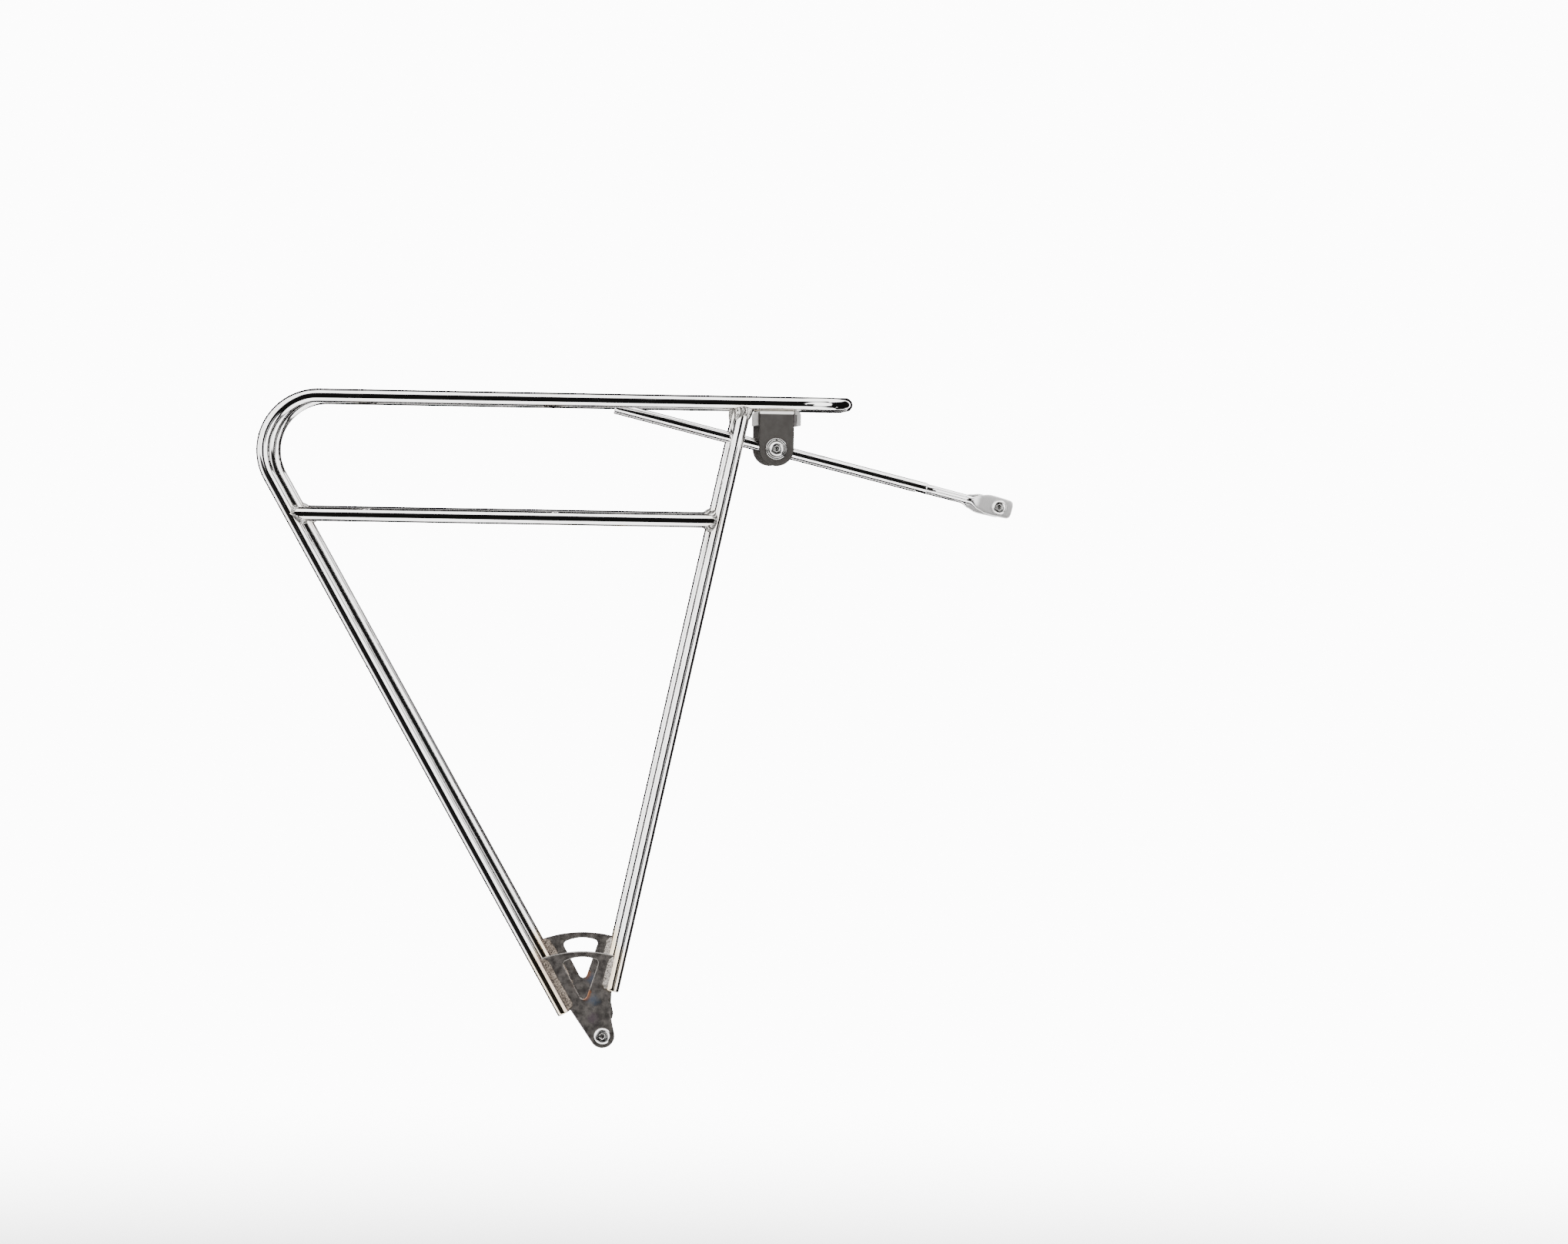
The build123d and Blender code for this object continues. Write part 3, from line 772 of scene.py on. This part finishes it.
def tube_between(node, trunks):
    """Tube between two others, coped to both, with a bead at each end."""
    (start, _), (end, _) = trunks
    rings = straight_rings(start, end)
    forward = unit(end - start)
    ends = ((rings[0], forward, trunks[0]), (rings[-1], -forward, trunks[1]))
    # The rings near the two ends make way for the coped ones
    body = [
        ring for ring in rings
        if all(np.linalg.norm(ring.mean(axis=0) - tip) > 2 * tube_r for tip in (start, end))
    ]
    rings = [*coped_end(*ends[0]), *body, *coped_end(*ends[1])[::-1]]
    piece = skin(f"{node}_surface", rings, tube_steel, "rack", [node])
    for place, (ring, away, trunk) in zip(("start", "end"), ends):
        saddle_bead(f"weld_{node}_{place}", ring, away, (start, forward), trunk, TUBE_BEAD)
    return piece


rails = {sign: (at(0, sign * rail_y, deck_z), at(1, 0, 0)) for _, sign in SIDES}
main_points = rounded_route(main_corners, [REAR_BEND_R, NOSE_BEND_R, NOSE_BEND_R, REAR_BEND_R])
main_rings = closed_bar(main_points, tube_r, TUBE_END_ROUND)
tubes = [skin("main_tube_surface", main_rings, tube_steel, "rack", ["main_tube"])]

for place in ("rear", "middle", "front"):
    node = f"cross_tube_{place}"
    x = centre(node)[0]
    trunks = [(at(x, sign * rail_y, deck_z), at(1, 0, 0)) for _, sign in SIDES]
    tubes.append(tube_between(node, trunks))

front_points = rounded_route(front_corners, [CRANK_BEND_R])
for side, sign in SIDES:
    corners = mirrored(front_corners, sign)
    points = mirrored(front_points, sign)
    down = unit(corners[1] - corners[2])
    top_ring = rings_along(points, tube_r)[-1]
    rings = closed_bar(points, tube_r, TUBE_END_ROUND)[:-END_RINGS]
    rings = [ring for ring in rings if ring[:, 2].max() < deck_z - tube_r]
    rings.extend(coped_end(top_ring, down, rails[sign])[::-1])
    node = f"front_leg_{side}"
    tubes.append(skin(f"{node}_surface", rings, tube_steel, "rack", [node]))
    branch = (corners[2], down)
    saddle_bead(f"weld_{node}", top_ring, down, branch, rails[sign], LEG_TOP_BEAD)

    rear = mirrored(main_corners[:2], sign)
    ends = [on_line(*rear, lower_rail_z), on_line(*corners[:2], lower_rail_z)]
    trunks = [(ends[0], rear[1] - rear[0]), (ends[1], corners[1] - corners[0])]
    tubes.append(tube_between(f"lower_rail_{side}", trunks))


# ------------------------------------------------------------------ welds at the plates


def leg_edge(start, end, heights, inwards, face_y):
    """Path where a leg comes through a plate's face, and the direction away from the leg."""
    across = unit(np.cross(end - start, (0, 1, 0)))
    across = across * np.sign(across[0]) * inwards
    path = []
    for z in np.linspace(*heights, 20):
        middle = on_line(start, end, z)
        chord = math.sqrt(tube_r ** 2 - (face_y - middle[1]) ** 2)
        path.append(at(middle[0], face_y, z) + across * chord)
    return path, across


for side, sign in SIDES:
    legs = {
        "rear": (mirrored(main_corners[:2], sign), (rear_end_z, PLATE_REAR_TOP_Z), 1),
        "front": (mirrored(front_corners[:2], sign), (FRONT_LEG_END[1], PLATE_FRONT_TOP_Z), -1),
    }
    for leg, (ends, heights, inwards) in legs.items():
        heights = (heights[0] + PLATE_BEAD_INSET, heights[1] - PLATE_BEAD_INSET)
        tube = near_tube((ends[0], ends[1] - ends[0]))
        for face, face_y, out in (("outer", plate_high.y, sign), ("inner", plate_low.y, -sign)):
            path, across = leg_edge(*ends, heights, inwards, sign * face_y)
            plane = near_plane(at(0, sign * face_y, 0), at(0, out, 0))
            name = f"weld_plate_{side}_{leg}_{face}"
            bead(name, path, across, (plane, tube), closed=False, **PLATE_BEADS[leg])

    # Bead inside the corner between the rail and the bracket's sheet
    sheet_z = bracket_high.z
    sheet = near_plane(at(0, 0, sheet_z), at(0, 0, 1))
    seam_x = (bracket_low.x + SEAM_ENDS[0], bracket_high.x - SEAM_ENDS[1])
    seam = [at(x, sign * (rail_y - SEAM_INSET), sheet_z) for x in seam_x]
    surfaces = (sheet, near_tube(rails[sign]))
    name = f"weld_bracket_{side}"
    bead(name, seam, at(0, -sign, 0), surfaces, SEAM_BEAD, closed=False, wedge=True)

# Heat colours fade with the distance from the nearest weld
for tube in tubes:
    warmth = np.zeros(len(tube.data.vertices))
    for heat in sorted({strength for _, strength in weld_lines}):
        spots = np.vstack([path[::4] for path, strength in weld_lines if strength == heat])
        tree = kdtree.KDTree(len(spots))
        for i, spot in enumerate(spots):
            tree.insert(spot, i)
        tree.balance()
        gaps = np.array([tree.find(v.co)[2] for v in tube.data.vertices])
        warmth = np.maximum(warmth, heat * np.clip(1 - gaps / HEAT_REACH, 0, 1))
    store(tube, "scorch", warmth)


# ------------------------------------------------------------------ bolts


def lathe_rings(profile, origin, out):
    """Rings turned about an axis, from (radius or radius by angle, height) pairs."""
    turns = 2 * math.pi * np.arange(LATHE_SIDES) / LATHE_SIDES
    up = at(0, 0, 1)
    spokes = np.outer(np.cos(turns), np.cross(out, up)) + np.outer(np.sin(turns), up)
    rings = []
    for radius, height in profile:
        reach = radius(turns) if callable(radius) else radius
        rings.append(origin + out * height + spokes * np.reshape(reach, (-1, 1)))
    return rings


def button_bolt(node, head, grip, body, origin, out, length):
    """Button-head bolt: hexagon socket with a chamfered mouth, domed head, rolled thread."""
    head_r, head_h = head

    def hexagon(grow):
        def radius(turns):
            corner = (turns + math.pi / 6) % (math.pi / 3) - math.pi / 6
            return (SOCKET_FLATS / 2 + grow) / np.cos(corner)

        return radius

    def thread(height):
        # A triangle wave along the helix, with flat crests and roots
        def radius(turns):
            phase = (height / THREAD_PITCH + turns / (2 * math.pi)) % 1
            return BOLT_R - THREAD_DEPTH * np.clip(abs(2 * phase - 1) * 1.3 - 0.15, 0, 1)

        return radius

    dome = head_h * HEAD_DOME
    profile = [
        (SOCKET_FLOOR_R, head_h - SOCKET_DEPTH),
        (hexagon(0), head_h - SOCKET_DEPTH),
        (hexagon(0), head_h - SOCKET_CHAMFER),
        (hexagon(SOCKET_CHAMFER), head_h),
        (head_r - dome, head_h),
    ]
    for turn in np.radians(np.linspace(8, 90, 10)):
        profile.append((head_r - dome * (1 - math.sin(turn)), head_h - dome * (1 - math.cos(turn))))
    profile += [(head_r, HEAD_EDGE), (head_r - HEAD_EDGE, 0), (BOLT_GRIP_R, 0)]
    if grip > 0:
        profile.append((BOLT_GRIP_R, -grip))
    start = -grip - THREAD_START
    stop = -(length - BOLT_TIP)
    count = round((start - stop) / (THREAD_PITCH / THREAD_STEPS))
    profile += [(thread(height), height) for height in np.linspace(start, stop, count)]
    profile.append((BOLT_R - THREAD_DEPTH - TIP_CHAMFER, -length))
    rings = lathe_rings(profile, origin, out)
    bolt = skin(f"{node}_turned", rings, bolt_steel, body, [node])
    keep_creases(bolt, 32)


# ------------------------------------------------------------------ stays

forward = at(math.cos(STAY_SLOPE), 0, -math.sin(STAY_SLOPE))
upward = at(math.sin(STAY_SLOPE), 0, math.cos(STAY_SLOPE))


def on_stay(along, y):
    """Point of the right stay: along it from the clamp, and out from the middle plane."""
    return at(clamp[0], -y, clamp[2]) + forward * along


def lug_half_width(along):
    """Half the flattened end's width at a place along the stay."""
    (start, start_w), (widest, widest_w), (end, end_w) = LUG_START, LUG_WIDEST, LUG_END
    if along < widest:
        share = (along - start) / (widest - start)
        return (start_w + (widest_w - start_w) * math.sin(share * math.pi / 2)) / 2
    share = (along - widest) / (end - widest)
    half = (widest_w + (end_w - widest_w) * share ** 2) / 2
    corner = np.clip(along - (end - LUG_CORNER_R), 0, LUG_CORNER_R)
    return half - LUG_CORNER_R + math.sqrt(LUG_CORNER_R ** 2 - corner ** 2)


def stay_end_rings():
    """Rings of the neck, bent inwards, that flattens into the leaf-shaped lug."""
    corners = [
        on_stay(STAY_FRONT, stay_y),
        on_stay(NECK_BENDS[0], stay_y),
        on_stay(NECK_BENDS[1], LUG_Y),
        on_stay(LUG_END[0], LUG_Y),
    ]
    route = rounded_route(corners, [NECK_BEND_R, NECK_BEND_R])
    route, _ = evenly(route, NECK_STEP, False)
    turns = 2 * math.pi * np.arange(TUBE_SIDES) / TUBE_SIDES
    rings = []
    for point, way in zip(route, directions(route)):
        place = (point - on_stay(0, 0)) @ forward
        flat = np.clip((place - NECK_END) / (LUG_START[0] - NECK_END), 0, 1)
        flat = flat * flat * (3 - 2 * flat)     # eased at both ends
        width = NECK_R + (lug_half_width(max(place, LUG_START[0])) - NECK_R) * flat
        thick = NECK_R + (LUG_THICKNESS / 2 - NECK_R) * flat
        power = 2 / (2 + 4 * flat)      # from a circle to a rectangle with rounded corners
        side = np.cross(way, upward)
        c, s = np.cos(turns), np.sin(turns)
        wide = np.sign(c) * abs(c) ** power * width
        deep = np.sign(s) * abs(s) ** power * thick
        rings.append(point + np.outer(wide, upward) + np.outer(deep, side))
    return rings


def drill(piece, centre_point, radius, depth):
    """Cuts a round hole along Y through a piece."""
    work = bmesh.new()
    matrix = Matrix.Translation(centre_point) @ Matrix.Rotation(math.pi / 2, 4, "X")
    bmesh.ops.create_cone(
        work,
        cap_ends=True,
        segments=LATHE_SIDES,
        radius1=radius,
        radius2=radius,
        depth=depth,
        matrix=matrix,
    )
    mesh = bpy.data.meshes.new("drill")
    work.to_mesh(mesh)
    work.free()
    tool = bpy.data.objects.new("drill", mesh)
    bpy.context.scene.collection.objects.link(tool)
    cut = piece.modifiers.new("hole", "BOOLEAN")
    cut.operation = "DIFFERENCE"
    cut.solver = "EXACT"
    cut.object = tool
    graph = bpy.context.evaluated_depsgraph_get()
    drilled = bpy.data.meshes.new_from_object(piece.evaluated_get(graph))
    piece.modifiers.clear()
    piece.data = drilled
    bpy.data.objects.remove(tool)
    bpy.data.meshes.remove(mesh)


bar_points = np.array([on_stay(x, stay_y) for x in np.linspace(-STAY_TAIL, STAY_FRONT, 80)])
bar_rings = closed_bar(bar_points, STAY_R, STAY_EDGE_R)
end_rings = stay_end_rings()

for side, sign in SIDES:
    body = f"stay_{side}"
    node = f"stay_bar_{side}"
    rings = mirrored(bar_rings, sign)
    skin(f"{node}_surface", rings, stay_bar_steel, body, [node])

    node = f"stay_end_{side}"
    rings = mirrored(end_rings, sign)
    end = skin(f"{node}_surface", rings, stay_end_steel, body, [node])
    lug_bolt = on_stay(LUG_BOLT, LUG_Y) * (1, -sign, 1)
    drill(end, Vector(lug_bolt), LUG_HOLE_R, 4 * LUG_THICKNESS)
    keep_creases(end, 40)
    points = mirrored([v.co for v in end.data.vertices], sign)
    along = (points - on_stay(0, 0)) @ forward
    store(end, "satin", np.clip((along - NECK_END) / (LUG_START[0] - NECK_END), 0, 1))

    # Each bolt: node, head, smooth length under it, body, and where its head sits
    low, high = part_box(f"clamp_bolt_{side}")
    clamp_seat = (clamp[0], max(abs(low.y), abs(high.y)) - CLAMP_HEAD[1], clamp[2])
    lug_seat = (lug_bolt[0], LUG_Y + LUG_THICKNESS / 2, lug_bolt[2])
    plate_seat = (0, plate_high.y, 0)
    plate_thickness = plate_high.y - plate_low.y
    bolts = (
        (f"dropout_bolt_{side}", DROPOUT_HEAD, plate_thickness, "rack", plate_seat),
        (f"clamp_bolt_{side}", CLAMP_HEAD, 0.0, f"clamp_{side}", clamp_seat),
        (f"end_bolt_{side}", END_HEAD, LUG_THICKNESS, f"stay_{side}", lug_seat),
    )
    for node, head, grip, body, (x, y, z) in bolts:
        low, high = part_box(node)
        length = high.y - low.y - head[1]
        button_bolt(node, head, grip, body, at(x, sign * y, z), at(0, sign, 0), length)


# ------------------------------------------------------------------ CAD nodes that stay


def coat(node, material):
    """Gives a CAD node a better material."""
    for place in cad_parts[node].material_slots:
        place.material = material


coat("stay_bracket", bracket_steel)
for side, sign in SIDES:
    coat(f"dropout_plate_{side}", plate_steels[side])
    for node in ("clamp_washer", "lock_washer", "stay_eye"):
        coat(f"{node}_{side}", clamp_steel)


# ------------------------------------------------------------------ studio

WHITE = 4.5                     # brightness of the studio's white, as the metal shows it
BACKDROP = 12.0                 # brightness of the white behind the rack
SHADE = 0.002                   # brightness of the dark screens, as a share of the white
SCREEN_EDGE = math.radians(2.5)         # half the width of a screen's soft edge
FLOOR_Z = -0.35                 # where the bicycle's tyres stand
FLOOR_R = 12
FLOOR_FADE = (1.2, 3.0)         # how far out the floor starts and ends its fade into the white

# Screens in degrees: azimuth of the middle (0 is towards the camera, positive towards the rack's
# front), half the width, elevation of the middle, half the height. Then how dark it is.
FRONT_SCREEN = (30, 47, 0, 42, 1.0)
FRONT_OPENING = (46, 33, 0, 29)         # white oval in the front screen
SCREENS = (
    (24, 9, -14, 14, 1.0),      # low in the opening, on the camera's side
    (-35, 24, -18, 16, 0.975),  # low, between the camera and the rack's rear
    (-62, 4, -8, 30, 0.6),      # narrow grey strip beside that
    (107, 33, -8, 36, 1.0),     # ahead of the rack
    (-158, 56, 2, 82, 1.0),     # most of the far side
)

# The camera, fitted to the photo
LENS = 142.55
CAMERA_PLACE = (-17.8 * MM, -3.7, 335.1 * MM)
CAMERA_WAY = (0.0331, 1, -0.0252)
CAMERA_ROLL = math.radians(1)


def studio_world():
    """White studio with dark screens. The metal shows them as its dark lines."""
    world = bpy.data.worlds.new("studio")
    world.use_nodes = True
    bpy.context.scene.world = world
    nodes = Nodes(world.node_tree)
    way = nodes.coordinate("Generated")
    height = nodes.math("ARCSINE", nodes.part(way, "Z"))

    def from_middle(azimuth, elevation):
        """How far a direction lies from a screen's middle, across and up or down."""
        turn = math.radians(azimuth)
        ahead = nodes.dot(way, (math.sin(turn), -math.cos(turn), 0))
        aside = nodes.dot(way, (math.cos(turn), math.sin(turn), 0))
        across = nodes.math("ABSOLUTE", nodes.math("ARCTAN2", aside, ahead))
        return across, nodes.math("ABSOLUTE", nodes.minus(height, math.radians(elevation)))

    def screen(azimuth, half_width, elevation, half_height, dark):
        """Darkness of a rectangle with soft edges."""
        across, rise = from_middle(azimuth, elevation)
        wide, tall = math.radians(half_width), math.radians(half_height)
        inside = nodes.spread(across, wide + SCREEN_EDGE, wide - SCREEN_EDGE, 0.0, dark)
        return nodes.times(inside, nodes.spread(rise, tall + SCREEN_EDGE, tall - SCREEN_EDGE))

    def outside_oval(azimuth, half_width, elevation, half_height):
        """1 outside an oval with a soft edge, and 0 inside it."""
        across, rise = from_middle(azimuth, elevation)
        across = nodes.math("DIVIDE", across, math.radians(half_width))
        rise = nodes.math("DIVIDE", rise, math.radians(half_height))
        away = nodes.plus(nodes.math("POWER", across, 2), nodes.math("POWER", rise, 2))
        return nodes.spread(away, 0.85, 1.15)

    dark = nodes.times(screen(*FRONT_SCREEN), outside_oval(*FRONT_OPENING))
    for settings in SCREENS:
        dark = nodes.math("MAXIMUM", dark, screen(*settings))
    glow = nodes.spread(dark, 0.0, 1.0, WHITE, WHITE * SHADE)
    seen = nodes.add("ShaderNodeLightPath").outputs["Is Camera Ray"]
    strength = nodes.add("ShaderNodeMix", data_type="FLOAT")
    nodes.fill(strength, (seen,))
    nodes.give(strength.inputs["A"], glow)
    strength.inputs["B"].default_value = BACKDROP
    background = world.node_tree.nodes["Background"]
    background.inputs["Color"].default_value = (1, 1, 1, 1)
    nodes.give(background.inputs["Strength"], strength.outputs["Result"])


def studio_floor():
    """Pale disc on the ground that fades into the white far from the rack."""
    work = bmesh.new()
    bmesh.ops.create_circle(work, cap_ends=True, segments=96, radius=FLOOR_R)
    mesh = bpy.data.meshes.new("studio_floor")
    work.to_mesh(mesh)
    work.free()
    floor = bpy.data.objects.new("studio_floor", mesh)
    floor.location.z = FLOOR_Z
    bpy.context.scene.collection.objects.link(floor)
    floor.visible_glossy = False
    material = bpy.data.materials.new("pale_floor")
    material.use_nodes = True
    nodes = Nodes(material.node_tree)
    shader = material.node_tree.nodes["Principled BSDF"]
    place = nodes.coordinate()
    mottle = nodes.spread(nodes.noise(place, 3.0), 0.3, 0.7)
    colour = nodes.blend(mottle, (0.86, 0.86, 0.86), (0.90, 0.90, 0.89))
    nodes.give(shader.inputs["Base Color"], colour)
    shader.inputs["Roughness"].default_value = 0.9
    white = nodes.add("ShaderNodeEmission")
    white.inputs["Strength"].default_value = BACKDROP
    far = nodes.spread(nodes.distance(place, (0, 0, 0)), *FLOOR_FADE)
    mix = nodes.add("ShaderNodeMixShader")
    nodes.fill(mix, (far, shader.outputs[0], white.outputs[0]))
    nodes.give(material.node_tree.nodes["Material Output"].inputs["Surface"], mix.outputs[0])
    mesh.materials.append(material)


def add_camera():
    """Long lens on the right side, a little below the deck's height and rolled by a degree."""
    data = bpy.data.cameras.new("camera")
    data.sensor_width = 36
    data.lens = LENS
    data.clip_end = 60
    camera = bpy.data.objects.new("camera", data)
    back = -unit(at(*CAMERA_WAY))
    right = unit(np.cross(at(-math.sin(CAMERA_ROLL), 0, math.cos(CAMERA_ROLL)), back))
    up = np.cross(back, right)
    turn = Matrix((right, up, back)).transposed()
    camera.matrix_world = Matrix.Translation(CAMERA_PLACE) @ turn.to_4x4()
    bpy.context.scene.collection.objects.link(camera)
    bpy.context.scene.camera = camera


studio_world()
studio_floor()
add_camera()
